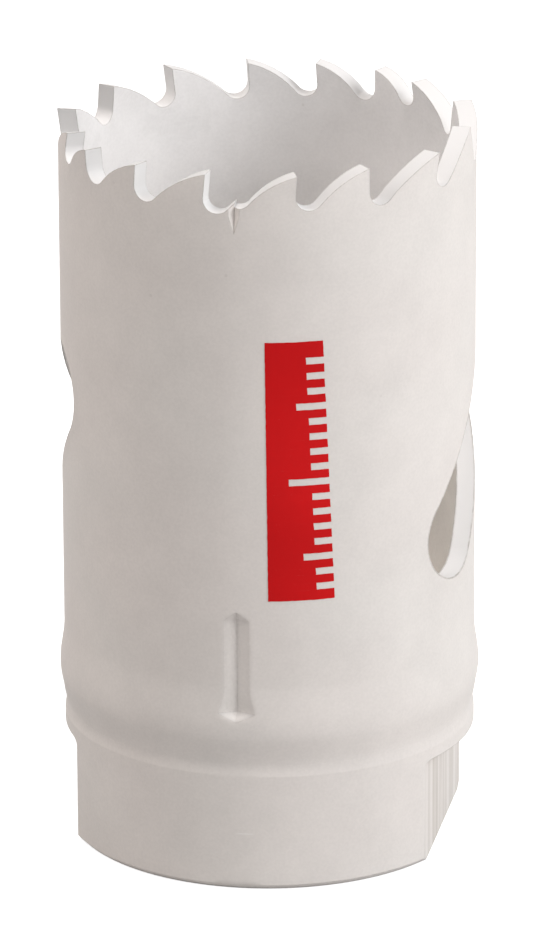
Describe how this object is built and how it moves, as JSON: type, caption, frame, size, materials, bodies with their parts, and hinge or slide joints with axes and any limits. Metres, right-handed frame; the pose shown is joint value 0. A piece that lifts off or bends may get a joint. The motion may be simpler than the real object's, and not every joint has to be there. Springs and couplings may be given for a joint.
{
  "type": "hole saw",
  "caption": "Small white hole saw: a toothed steel cup with two slanted slots, on a thick threaded end cap with two wrench flats.",
  "frame": {"origin": "centre of the end cap's back face, on the saw's axis", "axes": "+Z along the axis, from the back face to the teeth; -Y faces the printed side beside the weld seam"},
  "size_m": [0.0272, 0.0272, 0.0476],
  "materials": {
    "body_coat": "satin white powder coat with a red printed panel on the front",
    "cap_coat": "satin white powder coat, milled flats showing through"
  },
  "bodies": {
    "root": {"saw_body": "body_coat", "end_cap": "cap_coat"}
  },
  "joints": []
}
